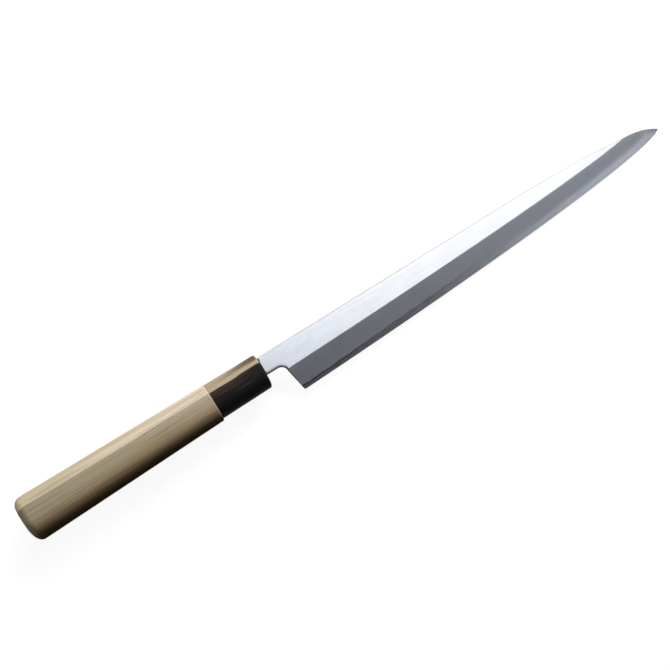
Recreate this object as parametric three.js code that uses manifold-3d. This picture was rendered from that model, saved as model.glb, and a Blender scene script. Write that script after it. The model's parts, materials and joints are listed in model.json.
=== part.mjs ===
// Fuguhiki knife: a long, thin, single-bevel slicing blade on a wooden handle with a horn ferrule.
// Sizes are in millimetres. In the knife's own axes +X runs to the tip, +Y to the spine and +Z out of
// the bevelled face; X is 0 at the ferrule's mouth and Y is 0 on the straight part of the spine.
// The finished knife lies on a level surface, bevelled face up, as it settles by its own weight.

import * as THREE from 'three';
import { mergeVertices } from 'three/addons/utils/BufferGeometryUtils.js';
import Module from 'manifold-3d';

const wasm = await Module();
wasm.setup();

// Blade outline, seen from the bevelled face
const BLADE_LENGTH = 244; // ferrule's mouth to tip
const SPINE_STRAIGHT = 150; // where the spine leaves its straight line
const TIP_LENGTH = 22; // from the end of the flat to the tip
const SPINE_DROP = 2.9; // fall of the spine at the end of the flat
const SPINE_BEND = 45; // reach of the spine's gentle bend past its straight line
const TIP_DROP = 9.5; // tip below the straight spine
const TIP_BEND = 7; // reach of the tip's round, back from the tip
const TIP_BEND_RISE = 5.4; // height of the tip's round above the tip
const HEEL_START = 13.3; // heel from the ferrule's mouth
const HEEL_DEPTH = 26.9; // heel below the spine
const EDGE_HEEL_BEND = 96; // reach of the edge's gentle bend past the heel
const EDGE_HEEL_RISE = 2;
const EDGE_TIP_BEND = 22; // reach of the edge's bend behind the tip
const EDGE_TIP_FALL = 8.9;
const CHOIL_START = 10.8; // top of the choil from the ferrule's mouth
const NECK_DEPTH = 10.2;
const NECK_RADIUS = 4;
const NECK_GAP = 0.3; // open line between the neck's shoulder and the ferrule

// Bevel line: the ridge between the flat and the bevel
const RIDGE_HEEL_DEPTH = 12.85;
const RIDGE_HEEL_BEND = 80;
const RIDGE_HEEL_RISE = 1.5;
const RIDGE_TIP_BEND = 30;
const RIDGE_TIP_FALL = 5;

// Blade thickness
const NECK_THICKNESS = 3.2;
const FLAT_END_THICKNESS = 1.5; // at the end of the flat
const SPINE_EASE = 0.6; // worn-off corner along the spine, at the neck
const STEEL_AT_SPINE = 1;
const STEEL_AT_EDGE = 0.5;
const WELD_GAP = 0.03; // forge weld between the iron and the steel
const HOLLOW_DEPTH = 0.35; // ground hollow in the back, at the heel
const HOLLOW_RIM = 1.6; // flat rim left around the hollow
const HOLLOW_HEEL_SPACE = 8;
const HOLLOW_TIP_SPACE = 14;

// Tang
const TANG_LENGTH = 95;
const TANG_MOUTH_HEIGHT = 9.2;
const TANG_MOUTH_THICKNESS = 2.9;
const TANG_SHOULDER = 8; // length over which the tang narrows behind the mouth
const TANG_HEIGHT = 7.8;
const TANG_END_HEIGHT = 4.6;
const TANG_END_THICKNESS = 1.8;
const TANG_CLEARANCE = 0.3;
const TANG_ROOT = 4; // how far the tang's form runs into the neck
const TANG_END_SPACE = 2; // air left in the wood past the tang's end

// Handle: each end's reach above and below the straight spine, and its width
const FERRULE_LENGTH = 30;
const FERRULE_FRONT_ABOVE = 2.3;
const FERRULE_FRONT_BELOW = 16.8;
const FERRULE_FRONT_WIDTH = 16.4;
const FERRULE_BACK_ABOVE = 2.5;
const FERRULE_BACK_BELOW = 17.3;
const FERRULE_BACK_WIDTH = 17;
const FERRULE_ROUND_LENGTH = 1;
const FERRULE_ROUND_INSET = 1.6;
const WOOD_LENGTH = 112;
const WOOD_FRONT_ABOVE = 2.6;
const WOOD_FRONT_BELOW = 18.3;
const WOOD_FRONT_WIDTH = 17.6;
const WOOD_FRONT_ROUND = 0.5;
const BUTT_ABOVE = 3.7;
const BUTT_BELOW = 21.4;
const BUTT_WIDTH = 20;
const BUTT_ROUND_LENGTH = 2;
const BUTT_ROUND_INSET = 3;
const RIDGE_DROP = 4.4; // hand ridge below the handle's top line
const FACET_CROWN_SHARE = 0.25; // share of the half width over which the top rolls into the facet
const SHOULDER_GAP = 0.1; // glue line between the wood and the ferrule
const TENON_HEIGHT = 14.5;
const TENON_WIDTH = 11;
const TENON_CLEARANCE = 0.1;
const TENON_END_SPACE = 1;
const FERRULE_FRONT_WALL = 8; // horn between the tenon's bore and the mouth

// How the knife lies on a table
const LYING_ROLL = THREE.MathUtils.degToRad(6); // edge down
const LYING_PITCH = THREE.MathUtils.degToRad(1.45); // tip down

// Fineness of the faceted surfaces
const BLADE_STATIONS = 40;
const HOLLOW_STATIONS = 24;
const HOLLOW_STEPS = 8;
const SECTION_DIVISIONS = 8;
const ROUND_STEPS = 5;
const CUT_MARGIN = 5; // how far cutting forms reach past what they cut
const MERGE_DISTANCE = 1e-5; // points closer than this are one point
const HALVINGS = 40; // steps of the search for a point on a curve

const lerp = THREE.MathUtils.lerp;
const point = (x, y, z) => new THREE.Vector3(x, y, z);
const flatPoint = (x, y) => new THREE.Vector2(x, y);

// Solids from closed geometries, and back
function solid(geometry) {
  const bare = geometry.clone();
  bare.deleteAttribute('normal');
  bare.deleteAttribute('uv');
  const merged = mergeVertices(bare, MERGE_DISTANCE);
  const vertProperties = new Float32Array(merged.attributes.position.array);
  const corners = merged.index.array;
  const kept = [];
  for (let i = 0; i < corners.length; i += 3) {
    const [a, b, c] = corners.slice(i, i + 3);
    if (a !== b && b !== c && c !== a) {
      kept.push(a, b, c);
    }
  }
  const triVerts = new Uint32Array(kept);
  return new wasm.Manifold(new wasm.Mesh({ numProp: 3, vertProperties, triVerts }));
}

function piece(name, form, colour, roughness, metalness) {
  const { vertProperties, triVerts } = form.getMesh();
  const geometry = new THREE.BufferGeometry();
  geometry.setAttribute('position', new THREE.BufferAttribute(vertProperties, 3));
  geometry.setIndex(new THREE.BufferAttribute(triVerts, 1));
  const finish = { color: colour, roughness, metalness, flatShading: true };
  const mesh = new THREE.Mesh(geometry, new THREE.MeshStandardMaterial(finish));
  mesh.name = name;
  return mesh;
}

// Closed skin through rings of points that follow each other along +X, with both ends capped.
// Each ring turns from +Y to +Z.
function loft(rings) {
  const count = rings[0].length;
  const last = (rings.length - 1) * count;
  const faces = [];
  for (let ring = 0; ring < last; ring += count) {
    for (let j = 0; j < count; j += 1) {
      const a = ring + j;
      const b = ring + ((j + 1) % count);
      faces.push(a, b, b + count);
      faces.push(a, b + count, a + count);
    }
  }
  for (let j = 1; j + 1 < count; j += 1) {
    faces.push(0, j + 1, j);
    faces.push(last, last + j, last + j + 1);
  }
  const geometry = new THREE.BufferGeometry().setFromPoints(rings.flat());
  geometry.setIndex(faces);
  return solid(geometry);
}

// Height of a curve that runs along +X, at one X
function heightAt(curve, x) {
  let low = 0;
  let high = 1;
  for (let i = 0; i < HALVINGS; i += 1) {
    const middle = (low + high) / 2;
    if (curve.getPoint(middle).x < x) {
      low = middle;
    } else {
      high = middle;
    }
  }
  return curve.getPoint(high).y;
}

// Blade curves
const flatEnd = BLADE_LENGTH - TIP_LENGTH;
const spineBend = new THREE.QuadraticBezierCurve(
  flatPoint(SPINE_STRAIGHT, 0),
  flatPoint(SPINE_STRAIGHT + SPINE_BEND, 0),
  flatPoint(flatEnd, -SPINE_DROP),
);
const tipBend = new THREE.QuadraticBezierCurve(
  flatPoint(flatEnd, -SPINE_DROP),
  flatPoint(BLADE_LENGTH - TIP_BEND, TIP_BEND_RISE - TIP_DROP),
  flatPoint(BLADE_LENGTH, -TIP_DROP),
);
const edgeCurve = new THREE.CubicBezierCurve(
  flatPoint(HEEL_START, -HEEL_DEPTH),
  flatPoint(HEEL_START + EDGE_HEEL_BEND, EDGE_HEEL_RISE - HEEL_DEPTH),
  flatPoint(BLADE_LENGTH - EDGE_TIP_BEND, -TIP_DROP - EDGE_TIP_FALL),
  flatPoint(BLADE_LENGTH, -TIP_DROP),
);
const bevelLine = new THREE.CubicBezierCurve(
  flatPoint(CHOIL_START, -RIDGE_HEEL_DEPTH),
  flatPoint(CHOIL_START + RIDGE_HEEL_BEND, RIDGE_HEEL_RISE - RIDGE_HEEL_DEPTH),
  flatPoint(flatEnd - RIDGE_TIP_BEND, -SPINE_DROP - RIDGE_TIP_FALL),
  flatPoint(flatEnd, -SPINE_DROP),
);
const backZ = -NECK_THICKNESS / 2;

function spineY(x) {
  return x < flatEnd ? heightAt(spineBend, x) : heightAt(tipBend, x);
}

function edgeY(x) {
  return heightAt(edgeCurve, x);
}

// The flat thins evenly from the neck to its end; past it the bevel alone sets the thickness.
function spineThickness(x) {
  const even = lerp(NECK_THICKNESS, FLAT_END_THICKNESS, x / flatEnd);
  if (x < flatEnd) {
    return even;
  }
  const share = (spineY(x) - edgeY(x)) / (spineY(flatEnd) - edgeY(flatEnd));
  return FLAT_END_THICKNESS * share;
}

function bladeRing(x) {
  const spine = spineY(x);
  const thickness = spineThickness(x);
  const ease = (SPINE_EASE * thickness) / NECK_THICKNESS;
  const ridge = Math.min(heightAt(bevelLine, x), spine - ease);
  return [
    point(x, spine, backZ),
    point(x, spine, backZ + thickness - ease),
    point(x, spine - ease, backZ + thickness),
    point(x, ridge, backZ + thickness),
    point(x, edgeY(x), backZ),
  ];
}

function wholeBlade() {
  const rings = [];
  for (let i = 0; i <= BLADE_STATIONS; i += 1) {
    const turn = (i / BLADE_STATIONS) * (Math.PI / 2);
    rings.push(bladeRing(lerp(NECK_GAP, BLADE_LENGTH, Math.sin(turn))));
  }
  return loft(rings);
}

// Space under the neck, between the ferrule and the choil
function neckNotch() {
  const low = -HEEL_DEPTH - CUT_MARGIN;
  const choilTop = -NECK_DEPTH - NECK_RADIUS;
  const slope = (HEEL_START - CHOIL_START) / (HEEL_DEPTH + choilTop);
  const outline = new THREE.Shape();
  outline.moveTo(-CUT_MARGIN, -NECK_DEPTH);
  outline.lineTo(CHOIL_START - NECK_RADIUS, -NECK_DEPTH);
  outline.absarc(CHOIL_START - NECK_RADIUS, choilTop, NECK_RADIUS, Math.PI / 2, 0, true);
  outline.lineTo(HEEL_START + slope * CUT_MARGIN, low);
  outline.lineTo(-CUT_MARGIN, low);
  const depth = 2 * NECK_THICKNESS;
  const sweep = { depth, bevelEnabled: false, curveSegments: SECTION_DIVISIONS };
  const cut = new THREE.ExtrudeGeometry(outline, sweep);
  cut.translate(0, 0, -NECK_THICKNESS);
  return solid(cut);
}

// Everything on the back side of the weld, raised by a gap
function steelSide(gap) {
  const top = CUT_MARGIN;
  const bottom = -HEEL_DEPTH - CUT_MARGIN;
  const lean = (STEEL_AT_SPINE - STEEL_AT_EDGE) / HEEL_DEPTH;
  const ring = (x) => [
    point(x, top, backZ - CUT_MARGIN),
    point(x, top, backZ + STEEL_AT_SPINE + lean * top + gap),
    point(x, bottom, backZ + STEEL_AT_SPINE + lean * bottom + gap),
    point(x, bottom, backZ - CUT_MARGIN),
  ];
  const weldStart = CHOIL_START - NECK_RADIUS - gap;
  return loft([ring(weldStart), ring(BLADE_LENGTH + CUT_MARGIN)]);
}

// Shallow hollow of the back, which follows the blade's outline and leaves a flat rim
function backHollow() {
  const rings = [];
  const start = HEEL_START + HOLLOW_HEEL_SPACE;
  const end = BLADE_LENGTH - HOLLOW_TIP_SPACE;
  for (let i = 0; i <= HOLLOW_STATIONS; i += 1) {
    const x = lerp(start, end, i / HOLLOW_STATIONS);
    const top = spineY(x) - HOLLOW_RIM;
    const bottom = edgeY(x) + HOLLOW_RIM;
    const depth = (HOLLOW_DEPTH * (top - bottom)) / HEEL_DEPTH;
    const ring = [];
    for (let j = 0; j <= HOLLOW_STEPS; j += 1) {
      const across = (2 * j) / HOLLOW_STEPS - 1;
      const y = lerp(top, bottom, j / HOLLOW_STEPS);
      ring.push(point(x, y, backZ + depth * (1 - across * across)));
    }
    ring.push(point(x, bottom, backZ - CUT_MARGIN));
    ring.push(point(x, top, backZ - CUT_MARGIN));
    rings.push(ring);
  }
  return loft(rings);
}

// Handle sections: an oval with one ridge on the bevelled face's side, under the spine.
// The path's first axis is Z and its second is Y.
function handleRing(x, above, below, width, inset) {
  const top = above - inset;
  const bottom = -below + inset;
  const half = width / 2 - inset;
  const middle = (top + bottom) / 2;
  const drop = (RIDGE_DROP * half) / (width / 2);
  const path = new THREE.Path();
  path.moveTo(0, bottom);
  path.absellipse(0, middle, half, middle - bottom, -Math.PI / 2, Math.PI / 2, true);
  path.quadraticCurveTo(half * FACET_CROWN_SHARE, top, half, top - drop);
  path.lineTo(half, middle);
  path.absellipse(0, middle, half, middle - bottom, 0, -Math.PI / 2, true);
  return path.getPoints(SECTION_DIVISIONS).slice(1).map((p) => point(x, p.y, p.x));
}

// Round over the end of a handle piece: the inset falls away along a quarter ellipse.
function roundedEnd(endX, direction, length, inset, ringAt) {
  const rings = [];
  for (let i = 0; i <= ROUND_STEPS; i += 1) {
    const turn = (i / ROUND_STEPS) * (Math.PI / 2);
    const x = endX + direction * length * (1 - Math.cos(turn));
    rings.push(ringAt(x, inset * (1 - Math.sin(turn))));
  }
  return rings;
}

const woodFront = -FERRULE_LENGTH - SHOULDER_GAP;
const buttEnd = -FERRULE_LENGTH - WOOD_LENGTH;

function woodRing(x, inset) {
  const share = (x - buttEnd) / (woodFront - buttEnd);
  const above = lerp(BUTT_ABOVE, WOOD_FRONT_ABOVE, share);
  const below = lerp(BUTT_BELOW, WOOD_FRONT_BELOW, share);
  const width = lerp(BUTT_WIDTH, WOOD_FRONT_WIDTH, share);
  return handleRing(x, above, below, width, inset);
}

function ferruleRing(x, inset) {
  const share = x / -FERRULE_LENGTH;
  const above = lerp(FERRULE_FRONT_ABOVE, FERRULE_BACK_ABOVE, share);
  const below = lerp(FERRULE_FRONT_BELOW, FERRULE_BACK_BELOW, share);
  const width = lerp(FERRULE_FRONT_WIDTH, FERRULE_BACK_WIDTH, share);
  return handleRing(x, above, below, width, inset);
}

const ferruleMiddle = (FERRULE_BACK_ABOVE - FERRULE_BACK_BELOW) / 2;
const woodMiddle = (BUTT_ABOVE + WOOD_FRONT_ABOVE - BUTT_BELOW - WOOD_FRONT_BELOW) / 4;

// Tang, grown on all sides by a clearance for the spaces that take it
function tangForm(clearance, endSpace) {
  const ring = (x, middle, height, thickness) => {
    const y = height / 2 + clearance;
    const z = thickness / 2 + clearance;
    return [
      point(x, middle + y, -z),
      point(x, middle + y, z),
      point(x, middle - y, z),
      point(x, middle - y, -z),
    ];
  };
  const shoulder = (TANG_SHOULDER / TANG_LENGTH) * (TANG_MOUTH_THICKNESS - TANG_END_THICKNESS);
  return loft([
    ring(-TANG_LENGTH - endSpace, woodMiddle, TANG_END_HEIGHT, TANG_END_THICKNESS),
    ring(-TANG_SHOULDER, ferruleMiddle, TANG_HEIGHT, TANG_MOUTH_THICKNESS - shoulder),
    ring(0, -NECK_DEPTH / 2, TANG_MOUTH_HEIGHT, TANG_MOUTH_THICKNESS),
    ring(TANG_ROOT, -NECK_DEPTH / 2, TANG_MOUTH_HEIGHT, TANG_MOUTH_THICKNESS),
  ]);
}

// Oval tenon of the wood, grown by a clearance for the ferrule's bore
function tenonForm(frontX, clearance) {
  const oval = new THREE.Shape();
  oval.absellipse(0, 0, TENON_HEIGHT / 2 + clearance, TENON_WIDTH / 2 + clearance, 0, 2 * Math.PI);
  const depth = frontX - (woodFront - CUT_MARGIN);
  const sweep = { depth, bevelEnabled: false, curveSegments: 2 * SECTION_DIVISIONS };
  const bar = new THREE.ExtrudeGeometry(oval, sweep);
  bar.rotateZ(Math.PI / 2);
  bar.rotateY(Math.PI / 2);
  bar.translate(woodFront - CUT_MARGIN, ferruleMiddle, 0);
  return solid(bar);
}

const blade = wholeBlade().subtract(neckNotch());
const boreFront = -FERRULE_FRONT_WALL;

function bladeBody() {
  return blade.subtract(steelSide(WELD_GAP)).add(tangForm(0, 0));
}

function edgeSteel() {
  return blade.intersect(steelSide(0)).subtract(backHollow());
}

function hornFerrule() {
  const front = roundedEnd(0, -1, FERRULE_ROUND_LENGTH, FERRULE_ROUND_INSET, ferruleRing);
  const body = loft([ferruleRing(-FERRULE_LENGTH, 0), ...front.reverse()]);
  const bore = tenonForm(boreFront, TENON_CLEARANCE);
  const slot = tangForm(TANG_CLEARANCE, TANG_END_SPACE);
  return body.subtract(bore).subtract(slot);
}

function woodHandle() {
  const butt = roundedEnd(buttEnd, 1, BUTT_ROUND_LENGTH, BUTT_ROUND_INSET, woodRing);
  const front = roundedEnd(woodFront, -1, WOOD_FRONT_ROUND, WOOD_FRONT_ROUND, woodRing);
  const body = loft([...butt, ...front.reverse()]);
  const tenon = tenonForm(boreFront - TENON_END_SPACE, 0);
  return body.add(tenon).subtract(tangForm(TANG_CLEARANCE, TANG_END_SPACE));
}

const knife = new THREE.Group();
knife.add(piece('blade_body', bladeBody(), 0xc4c8d2, 0.35, 1));
knife.add(piece('edge_steel', edgeSteel(), 0x8f949c, 0.25, 1));
knife.add(piece('horn_ferrule', hornFerrule(), 0x221c1d, 0.3, 0));
knife.add(piece('wood_handle', woodHandle(), 0xd6c6a2, 0.65, 0));

// Lay the knife down, with the middle of its footprint at the origin.
knife.rotation.set(LYING_ROLL, LYING_PITCH, 0);
knife.updateMatrixWorld(true);
const extent = new THREE.Box3().setFromObject(knife, true);
const middle = extent.getCenter(new THREE.Vector3());
knife.position.set(-middle.x, -middle.y, -extent.min.z);

const table = new THREE.Group();
table.add(knife);

export default table;
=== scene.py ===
"""Fuguhiki knife: a laminated single-bevel blade, a horn ferrule and a ridged oval handle, in a plain studio.

The packed solids are the fixed frame. Every piece is modelled in the knife's own axes, with X to the tip,
Y to the spine and Z out of the bevelled face, X 0 at the ferrule's mouth and Y 0 on the straight part of
the spine. It is laid into the frame when its mesh is finished. Sizes are in metres.
"""

import bisect
import json
import math

import bmesh
import bpy
from bpy.props import FloatProperty, FloatVectorProperty, PointerProperty
from mathutils import Matrix, Vector
from mathutils.geometry import interpolate_bezier


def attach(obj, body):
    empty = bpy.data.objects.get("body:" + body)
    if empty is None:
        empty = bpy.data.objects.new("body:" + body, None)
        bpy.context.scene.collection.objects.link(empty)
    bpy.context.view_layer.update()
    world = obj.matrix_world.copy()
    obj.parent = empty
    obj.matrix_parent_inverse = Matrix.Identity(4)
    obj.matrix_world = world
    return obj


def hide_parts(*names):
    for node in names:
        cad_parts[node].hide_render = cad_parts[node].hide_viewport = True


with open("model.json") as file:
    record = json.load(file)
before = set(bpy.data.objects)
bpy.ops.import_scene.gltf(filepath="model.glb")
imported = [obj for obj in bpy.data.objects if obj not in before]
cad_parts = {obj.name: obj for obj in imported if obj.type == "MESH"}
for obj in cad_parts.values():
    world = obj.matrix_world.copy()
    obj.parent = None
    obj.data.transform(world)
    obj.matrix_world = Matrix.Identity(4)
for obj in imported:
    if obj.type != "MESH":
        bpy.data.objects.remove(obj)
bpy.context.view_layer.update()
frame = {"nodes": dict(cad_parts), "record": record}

bl_info = {
    "name": "Fuguhiki Knife",
    "version": (1, 0, 0),
    "blender": (4, 5, 0),
    "location": "3D View > Sidebar > Knife",
    "description": "Models a single-bevel slicing knife piece by piece and sets a plain studio around it",
    "category": "Add Mesh",
}

MM = 0.001
BODY = "root"
BOX_MARGIN = 0.01 * MM


# The frame in the knife's axes

def box_in(axes, node):
    """Lowest and highest corner of a CAD solid, in the given axes."""
    inverse = axes.inverted()
    places = [inverse @ vertex.co for vertex in frame["nodes"][node].data.vertices]
    low = Vector(min(place[i] for place in places) for i in range(3))
    high = Vector(max(place[i] for place in places) for i in range(3))
    return low, high


def knife_axes():
    """Matrix from the knife's axes to the frame, from the flat mounts and the solids' boxes."""
    mounts = {mount["name"]: mount for mount in frame["record"]["mounts"]}
    to_tip = -Vector(mounts["butt_face"]["axis"]).normalized()
    face = Vector(mounts["blade_flat"]["axis"])
    outward = (face - face.dot(to_tip) * to_tip).normalized()
    turn = Matrix((to_tip, outward.cross(to_tip), outward)).transposed().to_4x4()
    mouth = box_in(turn, "horn_ferrule")[1].x
    blade_low, blade_high = box_in(turn, "blade_body")
    return turn @ Matrix.Translation((mouth, blade_high.y, (blade_low.z + blade_high.z) / 2))


KNIFE = knife_axes()
IRON_LOW, IRON_HIGH = box_in(KNIFE, "blade_body")
STEEL_LOW, STEEL_HIGH = box_in(KNIFE, "edge_steel")
HORN_LOW, HORN_HIGH = box_in(KNIFE, "horn_ferrule")
WOOD_LOW = box_in(KNIFE, "wood_handle")[0]


# Settings that a user would change

def length(name, description, metres):
    """A length in metres."""
    return FloatProperty(name=name, description=description, default=metres, unit="LENGTH", precision=5)


def angle(name, description, degrees):
    """An angle, written in degrees."""
    return FloatProperty(name=name, description=description, default=math.radians(degrees), subtype="ANGLE")


def share(name, description, value):
    """A plain number, such as a share or a strength."""
    return FloatProperty(name=name, description=description, default=value, precision=3)


def linear(tone):
    """Linear light of one tone of a picture, from 0 to 255, by the curve of sRGB."""
    tone /= 255
    return tone / 12.92 if tone <= 0.04045 else ((tone + 0.055) / 1.055) ** 2.4


def colour(name, description, red, green, blue):
    """A colour, written in the tones of a picture."""
    value = (linear(red), linear(green), linear(blue))
    return FloatVectorProperty(
        name=name, description=description, default=value, subtype="COLOR", min=0, max=1
    )


class BladeSizes(bpy.types.PropertyGroup):
    """Outline, bevel, layers and tang of the blade"""

    length: length("Length", "Ferrule's mouth to tip", STEEL_HIGH.x - BOX_MARGIN)
    spine_straight: length("Straight spine", "Where the spine leaves its straight line", 150 * MM)
    spine_bend: length("Spine bend", "Reach of the spine's gentle bend", 45 * MM)
    spine_drop: length("Spine drop", "Fall of the spine at the end of the flat", 3.2 * MM)
    tip_length: length("Tip length", "End of the flat to the tip", 18.5 * MM)
    tip_drop: length("Tip drop", "Tip below the straight spine", 8.9 * MM)
    tip_bend: length("Tip bend", "Reach of the tip's round, back from the tip", 7 * MM)
    tip_bend_rise: length("Tip bend rise", "Height of the tip's round above the tip", 5 * MM)
    heel_start: length("Heel start", "Ferrule's mouth to heel", 13.3 * MM)
    heel_depth: length("Heel depth", "Heel below the spine", -STEEL_LOW.y)
    heel_round: length("Heel round", "Eased corner of the heel", 0.8 * MM)
    edge_heel_bend: length("Edge bend at the heel", "Reach of the edge's gentle bend", 80 * MM)
    edge_heel_rise: length("Edge rise at the heel", "Rise of that bend", 2.15 * MM)
    edge_tip_bend: length("Edge bend at the tip", "Reach of the edge's bend behind the tip", 8 * MM)
    edge_tip_fall: length("Edge fall at the tip", "Fall of that bend below the tip", 9.2 * MM)
    choil_start: length("Choil start", "Ferrule's mouth to the top of the choil", 10.8 * MM)
    neck_depth: length("Neck depth", "Height of the neck", 10.2 * MM)
    neck_radius: length("Neck radius", "Round between the neck and the choil", 4 * MM)
    neck_gap: length("Neck gap", "Open line between the neck's shoulder and the ferrule", 0.6 * MM)
    neck_round: length("Neck round", "Round-over under the neck", 1.2 * MM)
    choil_round: length("Choil round", "Round-over along the choil", 0.7 * MM)
    line_depth: length("Bevel line depth", "Bevel line below the spine at the choil", 12.85 * MM)
    line_heel_bend: length("Bevel line bend at the heel", "Reach of the line's gentle bend", 80 * MM)
    line_heel_rise: length("Bevel line rise at the heel", "Rise of that bend", 1.5 * MM)
    line_tip_bend: length("Bevel line bend at the tip", "Reach of the bend before the spine", 30 * MM)
    line_tip_fall: length("Bevel line fall at the tip", "Fall of that bend below the spine", 5 * MM)
    neck_thickness: length("Neck thickness", "Thickness at the ferrule", IRON_HIGH.z - IRON_LOW.z)
    flat_end_thickness: length("End thickness", "Thickness at the end of the flat", 1.5 * MM)
    spine_ease: length("Spine ease", "Worn corner of the spine at the neck", 0.6 * MM)
    bevel_wear: length("Bevel wear", "Rounding of the bevel towards its line", 0.9 * MM)
    neck_corner: length("Neck corner", "Rounded corner of the spine at the ferrule", 1.4 * MM)
    steel_at_spine: length("Steel at the spine", "Thickness of the steel layer there", 1 * MM)
    weld_gap: length("Weld gap", "Space between the two layers", 0.02 * MM)
    lamination_heel: length("Lamination at the heel", "Height of the steel on the bevel", 2.4 * MM)
    lamination_bend: length("Lamination bend", "Height that its line bends towards", 4.3 * MM)
    lamination_tip: length("Lamination at the tip", "Height of the steel at the end of the flat", 5.3 * MM)
    lamination_wave: length("Lamination wave", "Rise and fall of the lamination line", 0.3 * MM)
    iron_end: length("Iron end", "Where the iron runs out, behind the tip", 7 * MM)
    hollow_depth: length("Hollow depth", "Ground hollow of the back at the heel", 0.35 * MM)
    hollow_rim: length("Hollow rim", "Flat rim around the hollow", 1.6 * MM)
    hollow_heel_space: length("Hollow from the heel", "Heel to the hollow", 8 * MM)
    hollow_tip_space: length("Hollow from the tip", "Hollow to the tip", 14 * MM)
    hollow_fade: length("Hollow fade", "Length over which the hollow runs out", 16 * MM)
    tang_length: length("Tang length", "Tang behind the ferrule's mouth", -IRON_LOW.x)
    tang_mouth_height: length("Tang height at the mouth", "Height of the tang there", 9.7 * MM)
    tang_mouth_thickness: length("Tang thickness at the mouth", "Thickness of the tang there", 2.9 * MM)
    tang_shoulder: length("Tang shoulder", "Length over which the tang narrows", 8 * MM)
    tang_height: length("Tang height", "Height behind the shoulder", 7.8 * MM)
    tang_thickness: length("Tang thickness", "Thickness behind the shoulder", 2.8 * MM)
    tang_end_height: length("Tang end height", "Height at the end", 4.6 * MM)
    tang_end_thickness: length("Tang end thickness", "Thickness at the end", 1.8 * MM)
    tang_clearance: length("Tang clearance", "Space around the tang", 0.3 * MM)
    tang_end_space: length("Tang end space", "Air left past the end of the tang", 2 * MM)


class HandleSizes(bpy.types.PropertyGroup):
    """Ferrule and wooden grip; above and below are measured from the straight spine"""

    ferrule_length: length("Ferrule length", "Length of the horn", -HORN_LOW.x)
    ferrule_front_above: length("Ferrule front above", "Reach above the spine at the mouth", 2.3 * MM)
    ferrule_front_below: length("Ferrule front below", "Reach below the spine at the mouth", 16.8 * MM)
    ferrule_front_width: length("Ferrule front width", "Width at the mouth", 16.4 * MM)
    ferrule_back_above: length("Ferrule back above", "Reach above the spine at the wood", HORN_HIGH.y)
    ferrule_back_below: length("Ferrule back below", "Reach below the spine at the wood", -HORN_LOW.y)
    ferrule_back_width: length("Ferrule back width", "Width at the wood", HORN_HIGH.z - HORN_LOW.z)
    ferrule_round_length: length("Mouth round length", "Length of the round at the mouth", 1.3 * MM)
    ferrule_round_inset: length("Mouth round inset", "Inset of the round at the mouth", 1.6 * MM)
    ferrule_round_under: length("Mouth round under", "Further inset of that round at the underside", 1 * MM)
    ferrule_front_wall: length("Mouth wall", "Horn between the bore and the mouth", 8 * MM)
    butt_end: length("Butt end", "Ferrule's mouth to the butt", -WOOD_LOW.x)
    wood_front_above: length("Wood front above", "Reach above the spine at the ferrule", 2.6 * MM)
    wood_front_below: length("Wood front below", "Reach below the spine at the ferrule", 18.3 * MM)
    wood_front_width: length("Wood front width", "Width at the ferrule", 17.6 * MM)
    wood_front_round: length("Wood front round", "Round of the wood's front rim", 0.5 * MM)
    butt_above: length("Butt above", "Reach above the spine at the butt", 3.7 * MM)
    butt_below: length("Butt below", "Reach below the spine at the butt", 21.4 * MM)
    butt_width: length("Butt width", "Width at the butt", 20 * MM)
    butt_round_length: length("Butt round length", "Length of the round at the butt", 5 * MM)
    butt_round_inset: length("Butt round inset", "Inset of the round at the butt", 4.8 * MM)
    butt_round_under: length("Butt round under", "Further inset of that round at the underside", 4.4 * MM)
    ridge_drop: length("Ridge drop", "Hand ridge below the top line", 4.4 * MM)
    ridge_round: length("Ridge round", "Round of the hand ridge", 0.3 * MM)
    facet_crown: share("Facet crown", "Share of the half width over which the top rolls into the facet", 0.25)
    sanding: length("Sanding", "Depth sanded off the wood and the horn", 0.05 * MM)
    shoulder_gap: length("Glue line", "Space between the wood and the horn", 0.1 * MM)
    tenon_height: length("Tenon height", "Height of the wood's tenon", 14.5 * MM)
    tenon_width: length("Tenon width", "Width of the wood's tenon", 11 * MM)
    tenon_clearance: length("Tenon clearance", "Space around the tenon", 0.1 * MM)
    tenon_end_space: length("Tenon end space", "Space past the end of the tenon", 1 * MM)


class Finishes(bpy.types.PropertyGroup):
    """Colours of the finished surfaces"""

    flat: colour("Blade flat", "Satin steel of the flat", 233, 235, 240)
    bevel: colour("Bevel", "Hazy iron of the bevel", 203, 208, 219)
    edge: colour("Edge steel", "Polished steel of the edge", 206, 213, 225)
    # Weld line colour, which along the heel also stands for a painted dark reflection
    weld: colour("Weld line", "Dark line where the steel meets the iron", 60, 60, 66)
    # Forge scale of the tang; on the neck's underside the same dark is painted shade
    scale: colour("Forge scale", "Dark skin of the tang and under the neck", 74, 72, 74)
    horn_black: colour("Dark horn", "Body of the horn", 41, 36, 37)
    horn_brown: colour("Brown horn", "Streaks in the pale horn", 104, 80, 60)
    # Grey streaks in the dark horn: partly smoky horn, partly a painted sheen
    horn_smoke: colour("Smoky horn", "Soft streaks in the dark horn", 86, 83, 86)
    horn_red: colour("Reddish horn", "Dark horn below the ridge", 86, 64, 53)
    horn_tan: colour("Pale horn", "Pale part along the ridge", 181, 164, 142)
    horn_olive: colour("Dull horn", "Pale part above the streak", 176, 161, 136)
    wood_pale: colour("Pale wood", "Wide grain towards the front", 232, 216, 196)
    wood_warm: colour("Warm wood", "Wide grain towards the butt", 212, 198, 166)
    wood_dark: colour("Dark wood", "Fine lines of the grain", 176, 156, 126)
    # The two tints below darken the lower side: partly browned by the hand, partly painted shade
    wood_handled: colour("Handled wood", "Tint of the lower side, browned by the hand", 235, 222, 204)
    wood_under: colour("Wood underneath", "Further tint of the underside", 190, 182, 172)


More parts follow.
